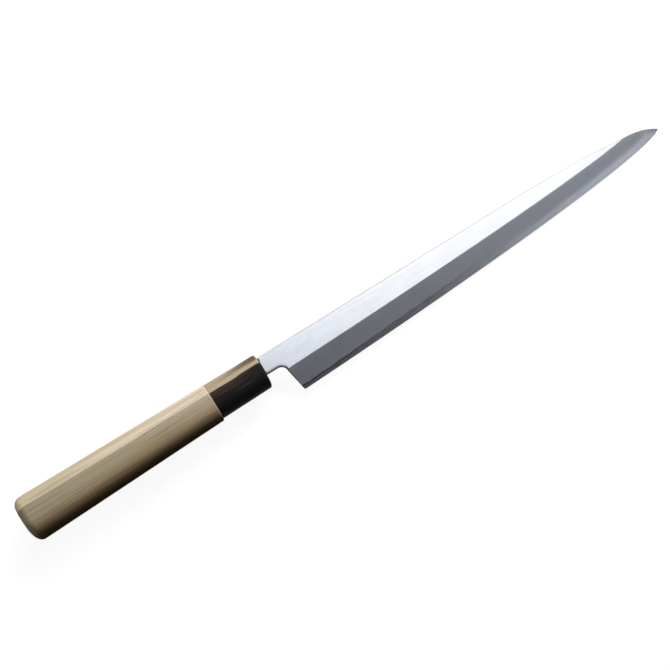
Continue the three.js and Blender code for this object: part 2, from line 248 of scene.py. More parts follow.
class StageSettings(bpy.types.PropertyGroup):
    """Floor, light and camera"""

    camera_distance: length("Camera distance", "Camera to the point that it looks at", 0.92)
    camera_focal: share("Focal length", "Focal length in millimetres on a 36 mm frame", 96.6)
    look_along: length("Look along", "Point that the camera looks at, along the knife", 40.82 * MM)
    look_across: length("Look across", "The same point, below the spine", -11.16 * MM)
    camera_behind: angle("Camera behind", "Lean of the view towards the butt", 7)
    camera_over: angle("Camera over", "Lean of the view towards the spine", 5)
    camera_roll: angle("Camera roll", "Turn of the picture", 31.89)
    floor_tone: share("Floor tone", "Diffuse tone of the pale floor", 0.22)
    floor_bounce: share("Floor bounce", "Tone with which the floor lights the knife from below", 0.2)
    floor_glow: share("Floor glow", "White that the floor shows to the camera", 0.93)
    floor_mirrored: share("Floor mirrored", "White that metal and horn show of the floor behind", 0.75)
    floor_mirrored_front: share("Floor mirrored in front", "The same, in front of the edge", 0.18)
    floor_radius: length("Floor radius", "Flat part of the floor", 3)
    backdrop_height: length("Backdrop height", "Height of the floor's raised rim", 4)
    key_light: share("Key light", "Strength of the soft panel on the spine's side", 8.65)
    top_light: share("Top light", "Strength of the card that the flat shows", 1.33)
    neck_light: share("Neck light", "Strength of the cool card that the flat shows at the neck", 1.08)
    tip_light: share("Tip light", "Strength of the dim card that the bevel shows towards the tip", 0.75)
    spine_light: share("Spine light", "Strength of the card that the spine shows", 0.52)
    butt_light: share("Butt light", "Strength of the low softbox behind the butt", 2.0)
    room_light: share("Room light", "Strength of the dim room", 0.01)
    wall_mirrored: share("Walls mirrored", "Strength of the room's walls in metal and horn", 0.2)
    ceiling_mirrored: share("Ceiling mirrored", "Strength of the room's ceiling in metal and horn", 0.05)


# Curves and steps

CURVE_STEPS = 240
# A lone handle bends a curve as two do that stand this share of the way to it
LONE_HANDLE = 2 / 3


def bezier(*points):
    """Points of a curve between its ends, bent by one or two handles."""
    start, *handles, end = (Vector(point) for point in points)
    if len(handles) == 1:
        handles = [point.lerp(handles[0], LONE_HANDLE) for point in (start, end)]
    return interpolate_bezier(start, *handles, end, CURVE_STEPS)


def height_at(curve, x):
    """Height of a curve that runs along X; past its ends, the height of the end."""
    after = bisect.bisect_left(curve, x, key=lambda point: point.x)
    if after in (0, len(curve)):
        return curve[min(after, len(curve) - 1)].y
    before, beyond = curve[after - 1], curve[after]
    return lerp(before.y, beyond.y, (x - before.x) / (beyond.x - before.x))


def lerp(start, end, part):
    return start + (end - start) * part


def ease_in_out(part):
    part = min(max(part, 0), 1)
    return part * part * (3 - 2 * part)


def steps(count):
    """Even parts from 0 to 1."""
    return [i / count for i in range(count + 1)]


def quarter_turn(count):
    """Sine and cosine over a quarter turn."""
    return [(math.sin(part * math.pi / 2), math.cos(part * math.pi / 2)) for part in steps(count)]


# Blade

# Length, share and phase of each wave of the lamination line
LAMINATION_WAVES = ((11.3 * MM, 0.5, 0.4), (5.1 * MM, 0.32, 2.1), (2.9 * MM, 0.18, 4.0))
# Largest shares: of the thickness for the steel at the spine, of a section for its round-over and for the
# rim of the hollow
STEEL_SHARE = 0.62
ROUND_SHARE = 0.7
RIM_SHARE = 1 / 3
# Power that keeps the wear close to the bevel line, and the weld gaps that the iron's feather edge stands off
WEAR_REACH = 6
FEATHER = 1.5
# Z of a face's normal: below the first the face is an underside, beyond the second it is front or back
UNDERSIDE = 0.8
FACING = 0.5
# Finishes of the iron and of the steel, in the order of their materials
FLAT, BEVEL, SCALE_AND_SHADE = range(3)
EDGE, HOLLOW, WELD = range(3)
# Attribute of the bare strip, 0 at the weld and 1 at the edge
TO_EDGE = "to_edge"
EASE_STEPS = 5
FLAT_COLUMNS = 6
BEVEL_COLUMNS = 8
WELD_COLUMNS = 4
HOLLOW_COLUMNS = 14
ARC_STEPS = 18
HEEL_STEPS = 6
CHOIL_STEPS = 16
NECK_STEPS = 10
EDGE_STEPS = 300
TIP_CROWDING = 1.3


class Blade:
    """Curves and surfaces of the blade, in the knife's axes."""

    def __init__(self, sizes):
        self.sizes = sizes
        self.back = -sizes.neck_thickness / 2
        self.flat_end = sizes.length - sizes.tip_length
        self.iron_end = sizes.length - sizes.iron_end
        self.weld_start = sizes.choil_start - sizes.neck_radius
        flat_end_point = (self.flat_end, -sizes.spine_drop)
        tip = (sizes.length, -sizes.tip_drop)
        self.spine_curve = bezier(
            (sizes.spine_straight, 0),
            (sizes.spine_straight + sizes.spine_bend, 0),
            flat_end_point,
        )
        self.tip_curve = bezier(
            flat_end_point,
            (sizes.length - sizes.tip_bend, sizes.tip_bend_rise - sizes.tip_drop),
            tip,
        )
        self.edge_curve = bezier(
            (sizes.heel_start, -sizes.heel_depth),
            (sizes.heel_start + sizes.edge_heel_bend, sizes.edge_heel_rise - sizes.heel_depth),
            (sizes.length - sizes.edge_tip_bend, -sizes.tip_drop - sizes.edge_tip_fall),
            tip,
        )
        self.line_curve = bezier(
            (sizes.choil_start, -sizes.line_depth),
            (sizes.choil_start + sizes.line_heel_bend, sizes.line_heel_rise - sizes.line_depth),
            (self.flat_end - sizes.line_tip_bend, -sizes.spine_drop - sizes.line_tip_fall),
            flat_end_point,
        )
        self.lamination_curve = bezier(
            (sizes.heel_start, sizes.lamination_heel),
            ((sizes.heel_start + self.flat_end) / 2, sizes.lamination_bend),
            (self.flat_end, sizes.lamination_tip),
        )

    def spine(self, x):
        """Y of the spine, with its rounded corner at the ferrule."""
        radius = self.sizes.neck_corner
        into_corner = min(self.sizes.neck_gap + radius - x, radius)
        if into_corner > 0:
            return math.sqrt(radius ** 2 - into_corner ** 2) - radius
        return height_at(self.spine_curve if x < self.flat_end else self.tip_curve, x)

    def edge(self, x):
        return height_at(self.edge_curve, x)

    def depth(self, x):
        return self.spine(x) - self.edge(x)

    def thickness(self, x):
        """The flat thins evenly from the neck to its end; past it the bevel sets the thickness."""
        sizes = self.sizes
        if x < self.flat_end:
            return lerp(sizes.neck_thickness, sizes.flat_end_thickness, x / self.flat_end)
        return sizes.flat_end_thickness * self.depth(x) / self.depth(self.flat_end)

    def ease(self, x):
        """Size of the worn corner of the spine."""
        return self.sizes.spine_ease * self.thickness(x) / self.sizes.neck_thickness

    def bevel_line(self, x):
        return min(height_at(self.line_curve, x), self.spine(x) - self.ease(x))

    def front(self, x, y):
        """Z of the front: level on the flat, and on the bevel sloping to the edge, worn round at its line."""
        line, edge = self.bevel_line(x), self.edge(x)
        if y >= line:
            return self.back + self.thickness(x)
        part = max(y - edge, 0) / (line - edge)
        return self.back + self.thickness(x) * part + self.sizes.bevel_wear * part ** WEAR_REACH * (1 - part)

    def on_front(self, place):
        return Vector((*place, self.front(*place)))

    def lamination(self, x):
        """Y of the wavy line on the bevel where the iron ends and the steel shows."""
        waves = sum(part * math.sin(math.tau * x / wave + phase) for wave, part, phase in LAMINATION_WAVES)
        height = height_at(self.lamination_curve, x) + self.sizes.lamination_wave * waves
        height = min(height, self.depth(x) / 2)
        full = self.depth(x) - self.ease(x)
        run_out = (x - self.flat_end) / (self.iron_end - self.flat_end)
        return self.edge(x) + lerp(height, full, ease_in_out(run_out) ** 2)

    def weld(self, x, y):
        """Z of the weld between the iron and the steel."""
        low, top = self.lamination(x), self.spine(x)
        at_low = self.front(x, low)
        at_top = self.back + min(self.sizes.steel_at_spine, STEEL_SHARE * self.thickness(x))
        part = (y - low) / (top - low) if top > low else 0
        return lerp(at_low, at_top, part)

    def hollow(self, x, across):
        """Depth of the hollow of the back, across it from -1 to 1."""
        sizes = self.sizes
        from_heel = (x - sizes.heel_start - sizes.hollow_heel_space) / sizes.hollow_fade
        from_tip = (sizes.length - sizes.hollow_tip_space - x) / sizes.hollow_fade
        deepest = sizes.hollow_depth * self.depth(x) / sizes.heel_depth
        return deepest * (1 - across * across) * ease_in_out(from_heel) * ease_in_out(from_tip)

    def neck_and_choil(self, lowest):
        """Lower outline from the ferrule down the choil, as (place, way into the metal, round-over)."""
        sizes = self.sizes
        centre = Vector((self.weld_start, -sizes.neck_depth - sizes.neck_radius))
        outline = []
        for part in steps(NECK_STEPS):
            x = lerp(sizes.neck_gap, self.weld_start, part * part)
            outline.append((Vector((x, -sizes.neck_depth)), Vector((0, 1)), sizes.neck_round))
        for part, (sine, cosine) in zip(steps(ARC_STEPS), quarter_turn(ARC_STEPS)):
            inward = Vector((sine, cosine))
            round_over = lerp(sizes.neck_round, sizes.choil_round, part)
            outline.append((centre + inward * sizes.neck_radius, inward, round_over))
        top = Vector((sizes.choil_start, centre.y))
        heel = Vector((sizes.heel_start, -sizes.heel_depth))
        inward = (heel - top).orthogonal().normalized()
        reach = (lowest - top.y) / (heel.y - top.y)
        for part in steps(CHOIL_STEPS)[1:]:
            outline.append((top.lerp(heel, part * reach), inward, sizes.choil_round))
        return outline

    def along(self, start, end):
        """Places along X, closer together towards the tip."""
        return [lerp(end, start, (1 - part) ** TIP_CROWDING) for part in steps(EDGE_STEPS)]


def between(start, end, count):
    """Even steps from one place to another, without the last."""
    return [start.lerp(end, i / count) for i in range(count)]


def iron_ring(blade, low, inward, round_over, welded):
    """Section of the iron: from its back at the spine over the front, and along the weld again."""
    x = low.x
    top, ease = blade.spine(x), blade.ease(x)
    flat = blade.back + blade.thickness(x)

    def behind(place):
        if not welded:
            return blade.back
        return min(blade.weld(*place) + blade.sizes.weld_gap, blade.front(*place))

    def on_weld(place):
        return Vector((*place, behind(place)))

    spine = Vector((x, top))
    round_over = min(round_over, ROUND_SHARE * (blade.front(*low) - behind(low)))
    shelf = low + inward * round_over
    line = Vector((shelf.x, max(blade.bevel_line(shelf.x), shelf.y)))
    ring = [on_weld(spine)]
    for sine, cosine in quarter_turn(EASE_STEPS):
        ring.append(Vector((x, top - ease * (1 - cosine), flat - ease * (1 - sine))))
    ring += [blade.on_front(place) for place in between(Vector((x, top - ease)), line, FLAT_COLUMNS)]
    ring += [blade.on_front(place) for place in between(line, shelf, BEVEL_COLUMNS)]
    for cosine, sine in quarter_turn(EASE_STEPS):
        place = low + inward * round_over * (1 - cosine)
        ring.append(blade.on_front(place) - Vector((0, 0, round_over * (1 - sine))))
    ring += [on_weld(place) for place in between(low, spine, WELD_COLUMNS)]
    return ring


def iron_rings(blade):
    """Sections of the tang, the neck and the iron of the blade, from the tang's end to the tip."""
    sizes = blade.sizes
    heel_lamination = blade.lamination(sizes.heel_start)
    outline = blade.neck_and_choil(heel_lamination)
    rings = []
    for i, (low, inward, round_over) in enumerate(outline):
        rings.append(iron_ring(blade, low, inward, round_over, welded=i > NECK_STEPS))
    for x in blade.along(outline[-1][0].x, blade.iron_end)[1:]:
        low = Vector((x, blade.lamination(x) + FEATHER * sizes.weld_gap))
        rings.append(iron_ring(blade, low, Vector((0, 1)), 0, welded=True))
    end = blade.iron_end + blade.ease(blade.iron_end)
    corner = blade.spine(end) - blade.ease(end) / 2
    rings.append([Vector((end, corner, blade.front(end, corner)))] * len(rings[-1]))
    return tang_rings(sizes, neck_ring(blade)) + rings


def tang_rings(sizes, neck):
    """Sections of the tang, which has the neck's section at other sizes."""
    handle = bpy.context.scene.knife_handle
    wood_middle = (
        handle.butt_above + handle.wood_front_above - handle.butt_below - handle.wood_front_below
    ) / 4
    neck_middle = -sizes.neck_depth / 2
    sections = (
        (-sizes.tang_length, wood_middle, sizes.tang_end_height, sizes.tang_end_thickness),
        (-sizes.tang_shoulder, tenon_middle(handle), sizes.tang_height, sizes.tang_thickness),
        (0, neck_middle, sizes.tang_mouth_height, sizes.tang_mouth_thickness),
        (sizes.neck_gap, neck_middle, sizes.tang_mouth_height, sizes.tang_mouth_thickness),
    )
    rings = []
    for x, middle, height, thickness in sections:
        ring = []
        for place in neck:
            y = middle + (place.y - neck_middle) * height / sizes.neck_depth
            ring.append(Vector((x, y, place.z * thickness / sizes.neck_thickness)))
        rings.append(ring)
    return rings


def steel_ring(blade, low):
    """Section of the steel: down the weld, over the bare strip of the bevel to the edge, and up the back."""
    sizes = blade.sizes
    x = low.x
    spine = Vector((x, blade.spine(x)))
    lamination = Vector((x, max(blade.lamination(x), low.y)))

    def on_weld(place):
        return Vector((*place, blade.weld(*place)))

    ring = [on_weld(place) for place in between(spine, lamination, WELD_COLUMNS)]
    if low.y < lamination.y:
        ring += [blade.on_front(place) for place in between(lamination, low, BEVEL_COLUMNS)]
    else:
        ring += [on_weld(low)] * BEVEL_COLUMNS
    rim = min(sizes.hollow_rim, (spine.y - low.y) * RIM_SHARE)
    bottom, top = low.y + rim, spine.y - rim
    ring.append(Vector((*low, blade.back)))
    for part in steps(HOLLOW_COLUMNS):
        depth = blade.hollow(x, 2 * part - 1)
        ring.append(Vector((x, lerp(bottom, top, part), blade.back + depth)))
    ring.append(Vector((*spine, blade.back)))
    return ring


def steel_rings(blade):
    """Sections of the steel from the back of the choil to the tip."""
    sizes = blade.sizes
    outline = blade.neck_and_choil(sizes.heel_round - sizes.heel_depth)[NECK_STEPS + 1:]
    lows = [low for low, *rest in outline]
    heel = Vector((sizes.heel_start, -sizes.heel_depth))
    start = sizes.heel_start + sizes.heel_round
    above, ahead = lows[-1], Vector((start, blade.edge(start)))
    lows += [above.lerp(heel, part).lerp(heel.lerp(ahead, part), part) for part in steps(HEEL_STEPS)[1:]]
    lows += [Vector((x, blade.edge(x))) for x in blade.along(start, sizes.length)[1:]]
    return [steel_ring(blade, low) for low in lows]


# Handle

BACK_COLUMNS = 36
FACET_COLUMNS = 12
SIDE_COLUMNS = 6
UNDER_COLUMNS = 18
RIDGE_COLUMN = BACK_COLUMNS + FACET_COLUMNS
ROUND_STEPS = 6
BODY_STEPS = 14
# Powers of the outlines inside the handle: an oval, and a slot with rounded corners
OVAL = 2
SLOT = 7


def handle_ring(handle, x, above, below, width, inset):
    """Oval with one ridge: from the bottom over the back and the top, down the facet and the side."""
    top, bottom, half = above - inset, inset - below, width / 2 - inset
    middle = (top + bottom) / 2
    rise = top - middle
    ridge = Vector((top - handle.ridge_drop * half / (width / 2), half))
    crown = Vector((top, half * handle.facet_crown))
    places = []
    for part in steps(BACK_COLUMNS)[:-1]:
        turn = part * math.pi
        places.append((middle - rise * math.cos(turn), -half * math.sin(turn)))
    for part in steps(FACET_COLUMNS)[:-1]:
        places.append(Vector((top, 0)).lerp(crown, part).lerp(crown.lerp(ridge, part), part))
    places += between(ridge, Vector((middle, half)), SIDE_COLUMNS)
    for part in steps(UNDER_COLUMNS)[:-1]:
        turn = part * math.pi / 2
        places.append((middle - rise * math.sin(turn), half * math.cos(turn)))
    return [Vector((x, y, z)) for y, z in places]


def inner_ring(ring, x, middle, height, width, power):
    """Oval or slot inside a ring, with its points in the same directions."""
    centre = (ring[0].y + ring[BACK_COLUMNS].y) / 2
    places = []
    for place in ring:
        way = Vector((place.y - centre, place.z)).normalized()
        reach = abs(2 * way.x / height) ** power + abs(2 * way.y / width) ** power
        way *= reach ** (-1 / power)
        places.append(Vector((x, middle + way.x, way.y)))
    return places


def tapered_ring(handle, x, back, front, inset, under):
    """Outside of the wood or the horn between its two ends, given as (x, above, below, width)."""
    part = (x - back[0]) / (front[0] - back[0])
    above, below, width = (lerp(*pair, part) for pair in zip(back[1:], front[1:]))
    return handle_ring(handle, x, above, below - under, width, inset + handle.sanding)


def wood_ring(handle, x, inset, under=0):
    butt = (-handle.butt_end, handle.butt_above, handle.butt_below, handle.butt_width)
    front = (handle.wood_front_above, handle.wood_front_below, handle.wood_front_width)
    return tapered_ring(handle, x, butt, (shoulder(handle), *front), inset, under)


def horn_ring(handle, x, inset, under=0):
    back = (handle.ferrule_back_above, handle.ferrule_back_below, handle.ferrule_back_width)
    mouth = (handle.ferrule_front_above, handle.ferrule_front_below, handle.ferrule_front_width)
    return tapered_ring(handle, x, (-handle.ferrule_length, *back), (0, *mouth), inset, under)


def shoulder(handle):
    """X of the wood's shoulder, a glue line behind the horn."""
    return -handle.ferrule_length - handle.shoulder_gap


def tenon_middle(handle):
    """Y of the middle of the tenon."""
    return (handle.ferrule_back_above - handle.ferrule_back_below) / 2


def rounded_end(handle, ring_at, end, inward, inset, *under):
    """Rings of a rounded end, from the end's face inward, with a further inset of the underside."""
    rings = []
    for sine, cosine in quarter_turn(ROUND_STEPS):
        insets = [size * (1 - sine) for size in (inset, *under)]
        rings.append(ring_at(handle, end + inward * (1 - cosine), *insets))
    return rings


def tang_slots(blade, ring, places):
    """Sections of the space that takes the tang, at given places."""
    tang = tang_rings(blade.sizes, neck_ring(blade))
    starts = [section[0].x for section in tang]
    reaches = []
    for section in tang:
        heights = [place.y for place in section]
        reaches.append((min(heights), max(heights), max(place.z for place in section)))
    gap = 2 * blade.sizes.tang_clearance
    slots = []
    for x in places:
        after = min(max(bisect.bisect_left(starts, x), 1), len(starts) - 1)
        part = (x - starts[after - 1]) / (starts[after] - starts[after - 1])
        low, high, half = (lerp(*pair, part) for pair in zip(reaches[after - 1], reaches[after]))
        slots.append(inner_ring(ring, x, (low + high) / 2, high - low + gap, 2 * half + gap, SLOT))
    return slots


def neck_ring(blade):
    """Section of the neck in front of its rounded corner."""
    low, inward, round_over = blade.neck_and_choil(-blade.sizes.heel_depth)[NECK_STEPS]
    return iron_ring(blade, low, inward, round_over, welded=False)


def wood_rings(handle, blade):
    """Sections of the wood: butt, grip, front rim, tenon, and the hole for the tang."""
    butt_sizes = (handle.butt_round_length, handle.butt_round_inset, handle.butt_round_under)
    butt = rounded_end(handle, wood_ring, -handle.butt_end, *butt_sizes)
    rim = handle.wood_front_round
    front = rounded_end(handle, wood_ring, shoulder(handle), -rim, rim)
    start, end = butt[-1][0].x, front[-1][0].x
    grip = [wood_ring(handle, lerp(start, end, part), 0) for part in steps(BODY_STEPS)[1:-1]]
    tenon_end = -handle.ferrule_front_wall - handle.tenon_end_space
    tenon = [
        inner_ring(front[0], x, tenon_middle(handle), handle.tenon_height, handle.tenon_width, OVAL)
        for x in (shoulder(handle), tenon_end)
    ]
    hole_end = -blade.sizes.tang_length - blade.sizes.tang_end_space
    hole = tang_slots(blade, front[0], (tenon_end, hole_end))
    return butt + grip + front[::-1] + tenon + hole


def horn_rings(handle, blade):
    """Sections of the horn: outside, rounded mouth, slot for the tang, bore for the tenon, and its back."""
    back = horn_ring(handle, -handle.ferrule_length, 0)
    mouth_sizes = (-handle.ferrule_round_length, handle.ferrule_round_inset, handle.ferrule_round_under)
    mouth = rounded_end(handle, horn_ring, 0, *mouth_sizes)
    start, end = -handle.ferrule_length, mouth[-1][0].x
    sleeve = [horn_ring(handle, lerp(start, end, part), 0) for part in steps(BODY_STEPS)[1:-1]]
    slot = tang_slots(blade, back, (0, -handle.ferrule_front_wall))
    gap = 2 * handle.tenon_clearance
    bore_sizes = (tenon_middle(handle), handle.tenon_height + gap, handle.tenon_width + gap)
    bore = [
        inner_ring(back, x, *bore_sizes, OVAL)
        for x in (-handle.ferrule_front_wall, -handle.ferrule_length)
    ]
    return [back] + sleeve + mouth[::-1] + slot + bore + [back]


# Meshes

MERGE_DISTANCE = 1e-7
SHARP_ANGLE = math.radians(32)
BEVEL_STEPS = 3
HALF_GRID = 0.5


def skin(rings):
    """Closed skin over rings of equally many points: a grid laid on them, seams merged and ends filled."""
    rows, columns = len(rings) - 1, len(rings[0])
    mesh = bmesh.new()
    column_of = mesh.verts.layers.int.new("column")
    bmesh.ops.create_grid(mesh, x_segments=rows, y_segments=columns, size=HALF_GRID)
    for vertex in mesh.verts:
        row = round((vertex.co.x + HALF_GRID) * rows)
        column = round((vertex.co.y + HALF_GRID) * columns) % columns
        vertex.co = rings[row][column]
        vertex[column_of] = column
    bmesh.ops.remove_doubles(mesh, verts=mesh.verts, dist=MERGE_DISTANCE)
    bmesh.ops.dissolve_degenerate(mesh, edges=mesh.edges, dist=MERGE_DISTANCE)
    bmesh.ops.holes_fill(mesh, edges=[edge for edge in mesh.edges if edge.is_boundary])
    bmesh.ops.recalc_face_normals(mesh, faces=mesh.faces)
    if mesh.calc_volume(signed=True) < 0:
        bmesh.ops.reverse_faces(mesh, faces=mesh.faces)
    return mesh


def round_ridge(mesh, width):
    """Round over the hand ridge."""
    column_of = mesh.verts.layers.int["column"]
    ridge = [
        edge for edge in mesh.edges
        if all(vertex[column_of] == RIDGE_COLUMN for vertex in edge.verts)
        and edge.calc_face_angle(0) > SHARP_ANGLE
    ]
    bmesh.ops.bevel(
        mesh, geom=ridge, offset=width, affect="EDGES", segments=BEVEL_STEPS, profile=0.5, material=-1
    )


def add_object(name, data):
    """New object, linked into the scene."""
    made = bpy.data.objects.new(name, data)
    bpy.context.scene.collection.objects.link(made)
    return made


def add_mesh(name, mesh, materials):
    """New object of a finished mesh and its materials."""
    data = bpy.data.meshes.new(name)
    mesh.to_mesh(data)
    mesh.free()
    for material in materials:
        data.materials.append(material)
    return add_object(name, data)


def finish_piece(name, mesh, materials, node, finish_of=None):
    """Lay a finished mesh into the frame as a piece that stands for a CAD solid."""
    for face in mesh.faces:
        face.smooth = True
        if finish_of:
            face.material_index = finish_of(face)
    for edge in mesh.edges:
        finishes = {face.material_index for face in edge.link_faces}
        edge.smooth = edge.calc_face_angle(0) < SHARP_ANGLE and len(finishes) == 1
    bmesh.ops.transform(mesh, matrix=KNIFE, verts=mesh.verts)
    piece = add_mesh(name, mesh, materials)
    shading = piece.modifiers.new("even_shading", "WEIGHTED_NORMAL")
    shading.keep_sharp = True
    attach(piece, BODY)
    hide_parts(node)


# Material tools

# Span that noise mostly stays in
NOISE_SPREAD = (0.3, 0.7)
# Sockets of a Mix node for its factor and two colours, and for the mixed colour
MIX_INPUTS = (0, 6, 7)
MIX_RESULT = 2
FIBRES_PER_BAND = 5.0


def add(tree, kind, inputs=None, **settings):
    """Add a node, with its settings, its values and the sockets that feed it."""
    node = tree.nodes.new(kind)
    for name, value in settings.items():
        setattr(node, name, value)
    for name, value in (inputs or {}).items():
        if isinstance(value, bpy.types.NodeSocket):
            tree.links.new(value, node.inputs[name])
        else:
            node.inputs[name].default_value = value
    return node


def new_material(name):
    """Empty material with its tree."""
    material = bpy.data.materials.new(name)
    material.use_nodes = True
    material.node_tree.nodes.clear()
    return material, material.node_tree


def knife_place(tree):
    """Place on the piece in the knife's axes."""
    inverse = KNIFE.inverted()
    place = add(tree, "ShaderNodeTexCoord").outputs["Object"]
    turned = {"Vector": place, "Location": inverse.translation, "Rotation": inverse.to_euler()}
    return add(tree, "ShaderNodeMapping", turned, vector_type="POINT").outputs["Vector"]


def parts_of(tree, place):
    """X, Y and Z of a place."""
    return add(tree, "ShaderNodeSeparateXYZ", {"Vector": place}).outputs


def span(tree, value, low, high, to_low=0.0, to_high=1.0, smooth=True):
    """Map a value's span onto another, held at its ends."""
    kind = "SMOOTHSTEP" if smooth else "LINEAR"
    inputs = {"Value": value, "From Min": low, "From Max": high, "To Min": to_low, "To Max": to_high}
    return add(tree, "ShaderNodeMapRange", inputs, interpolation_type=kind).outputs["Result"]


def scaled(tree, mask, low, high, smooth=True):
    """Map a mask, which runs from 0 to 1, onto another span."""
    return span(tree, mask, 0.0, 1.0, low, high, smooth)


def math_node(tree, operation, first, second=0.0):
    return add(tree, "ShaderNodeMath", {0: first, 1: second}, operation=operation).outputs["Value"]


def mix(tree, factor, first, second, blend="MIX"):
    """Mix two colours, each of them a socket or a plain colour."""
    tones = [tone if isinstance(tone, bpy.types.NodeSocket) else (*tone, 1) for tone in (first, second)]
    inputs = dict(zip(MIX_INPUTS, (factor, *tones)))
    return add(tree, "ShaderNodeMix", inputs, data_type="RGBA", blend_type=blend).outputs[MIX_RESULT]


def shader(tree, values):
    """Principled surface, fed by its values and sent to the output."""
    surface = add(tree, "ShaderNodeBsdfPrincipled", values).outputs["BSDF"]
    add(tree, "ShaderNodeOutputMaterial", {"Surface": surface})


def bump(tree, height, strength, distance):
    values = {"Height": height, "Strength": strength, "Distance": distance}
    return add(tree, "ShaderNodeBump", values).outputs["Normal"]


def noise(tree, place, fineness, detail, roughness, wander=0.0):
    """Noise that fills the span from 0 to 1."""
    inputs = {"Vector": place, "Scale": fineness, "Detail": detail, "Roughness": roughness}
    cloudy = add(tree, "ShaderNodeTexNoise", {**inputs, "Distortion": wander}).outputs["Fac"]
    return span(tree, cloudy, *NOISE_SPREAD)


def drawn_out(tree, place, stretch):
    """Place with its X shortened, so that a pattern on it is drawn out along X."""
    parts = parts_of(tree, place)
    short = math_node(tree, "DIVIDE", parts["X"], stretch)
    joined = {"X": short, "Y": parts["Y"], "Z": parts["Z"]}
    return add(tree, "ShaderNodeCombineXYZ", joined).outputs["Vector"]


def new_group(name, values, masks):
    """Empty shader node group that takes a place and named values, and gives named masks."""
    group = bpy.data.node_groups.new(name, "ShaderNodeTree")
    group.interface.new_socket("Place", in_out="INPUT", socket_type="NodeSocketVector")
    for value, default in values.items():
        socket = group.interface.new_socket(value, in_out="INPUT", socket_type="NodeSocketFloat")
        socket.default_value = default
    for mask in masks:
        group.interface.new_socket(mask, in_out="OUTPUT", socket_type="NodeSocketFloat")
    return group, add(group, "NodeGroupInput").outputs


def use_group(tree, build, place, **values):
    """Masks of a shared node group with a material's own values; the first use builds the group."""
    group = bpy.data.node_groups.get(build.__name__) or build(build.__name__)
    return add(tree, "ShaderNodeGroup", {"Place": place, **values}, node_tree=group).outputs


def lengthwise_streaks(name):
    """Streaks along the knife, as in wood and horn: broad bands and fine fibres, from 0 to 1."""
    values = {"Width": 2 * MM, "Stretch": 30.0, "Wander": 0.4}
    group, given = new_group(name, values, ("Bands", "Fibres"))
    place = drawn_out(group, given["Place"], given["Stretch"])
    broad = math_node(group, "DIVIDE", 1.0, given["Width"])
    fine = math_node(group, "MULTIPLY", broad, FIBRES_PER_BAND)
    masks = {
        "Bands": noise(group, place, broad, detail=3.0, roughness=0.55, wander=given["Wander"]),
        "Fibres": noise(group, place, fine, detail=4.0, roughness=0.65),
    }
    add(group, "NodeGroupOutput", masks)
    return group


def grinding_marks(name):
    """Marks of grinding and polishing on steel: fine lines one way and soft clouds, from 0 to 1."""
    values = {"Turn": 0.0, "Width": 0.2 * MM, "Stretch": 60.0, "Cloud": 12 * MM}
    group, given = new_group(name, values, ("Lines", "Clouds"))
    turn = {"Vector": given["Place"], "Angle": given["Turn"]}
    turned = add(group, "ShaderNodeVectorRotate", turn, rotation_type="Z_AXIS").outputs["Vector"]
    place = drawn_out(group, turned, given["Stretch"])
    fine, broad = (math_node(group, "DIVIDE", 1.0, given[size]) for size in ("Width", "Cloud"))
    masks = {
        "Lines": noise(group, place, fine, detail=3.0, roughness=0.7),
        "Clouds": noise(group, given["Place"], broad, detail=3.0, roughness=0.5),
    }
    add(group, "NodeGroupOutput", masks)
    return group


# Metals

# Parts of the blade's length between which the lamination line softens
CRISP_TO_SOFT = (0.45, 0.75)
# Part of the bare strip, from the weld, over which the soft line clears into the polish
CLEARING = 0.5
# Weld line, dark at the heel partly as a real weld line and partly as a painted dark reflection: where it is
# darkest and faintest along the blade, how dark, and where on the strip it fades
WELD_LINE_PLACES = (13 * MM, 60 * MM)
WELD_LINE_AND_REFLECTION_DARKNESS = (0.7, 0.12)
WELD_LINE_FADE = (0.1, 0.6)
EDGE_MARKS = {"Width": 0.15 * MM, "Stretch": 50.0}
EDGE_DARKEST = 0.94
EDGE_ROUGHNESS = (0.25, 0.31)
EDGE_RELIEF = 0.04
BEVEL_ROUGHNESS = (0.43, 0.46)
SOFT_ROUGHNESS = sum(BEVEL_ROUGHNESS) / 2
POLISH_DEPTH = 0.02 * MM


def worked_metal(name, tone, marks, shade, rough, relief, metallic=1.0):
    """Metal whose shade, roughness and relief each follow a mask of the marks that its working left.

    Shade is the mask and its darkest share, rough the mask and its two roughnesses, and relief the mask,
    its strength and its depth.
    """
    material, tree = new_material(name)
    masks = use_group(tree, grinding_marks, knife_place(tree), **marks)
    shade_mask, darkest = shade
    rough_mask, *roughness = rough
    relief_mask, strength, depth = relief
    tone = Vector(tone)
    shader(tree, {
        "Base Color": mix(tree, masks[shade_mask], tone * darkest, tone),
        "Metallic": metallic,
        "Roughness": scaled(tree, masks[rough_mask], *roughness),
        "Normal": bump(tree, masks[relief_mask], strength, depth),
    })
    return material


def satin_flat(finishes):
    """Flat of the blade: bright satin steel, polished lengthwise."""
    return worked_metal(
        "satin_flat",
        finishes.flat,
        marks={"Width": 0.25 * MM, "Stretch": 90.0},
        shade=("Clouds", 0.97),
        rough=("Lines", 0.22, 0.27),
        relief=("Lines", 0.025, POLISH_DEPTH),
    )


def hazy_bevel(finishes):
    """Iron of the bevel: hazy grey from the stones, with soft clouds."""
    return worked_metal(
        "hazy_bevel",
        finishes.bevel,
        marks={"Width": 0.3 * MM, "Stretch": 40.0},
        shade=("Clouds", 0.95),
        rough=("Clouds", *BEVEL_ROUGHNESS),
        relief=("Lines", 0.05, POLISH_DEPTH),
    )


def ground_hollow(finishes):
    """Hollow of the back: ground across on a wheel."""
    return worked_metal(
        "ground_hollow",
        finishes.edge,
        marks={"Turn": math.radians(82), "Width": 0.25 * MM, "Stretch": 50.0},
        shade=("Lines", 0.85),
        rough=("Lines", 0.28, 0.4),
        relief=("Lines", 0.15, 0.03 * MM),
    )


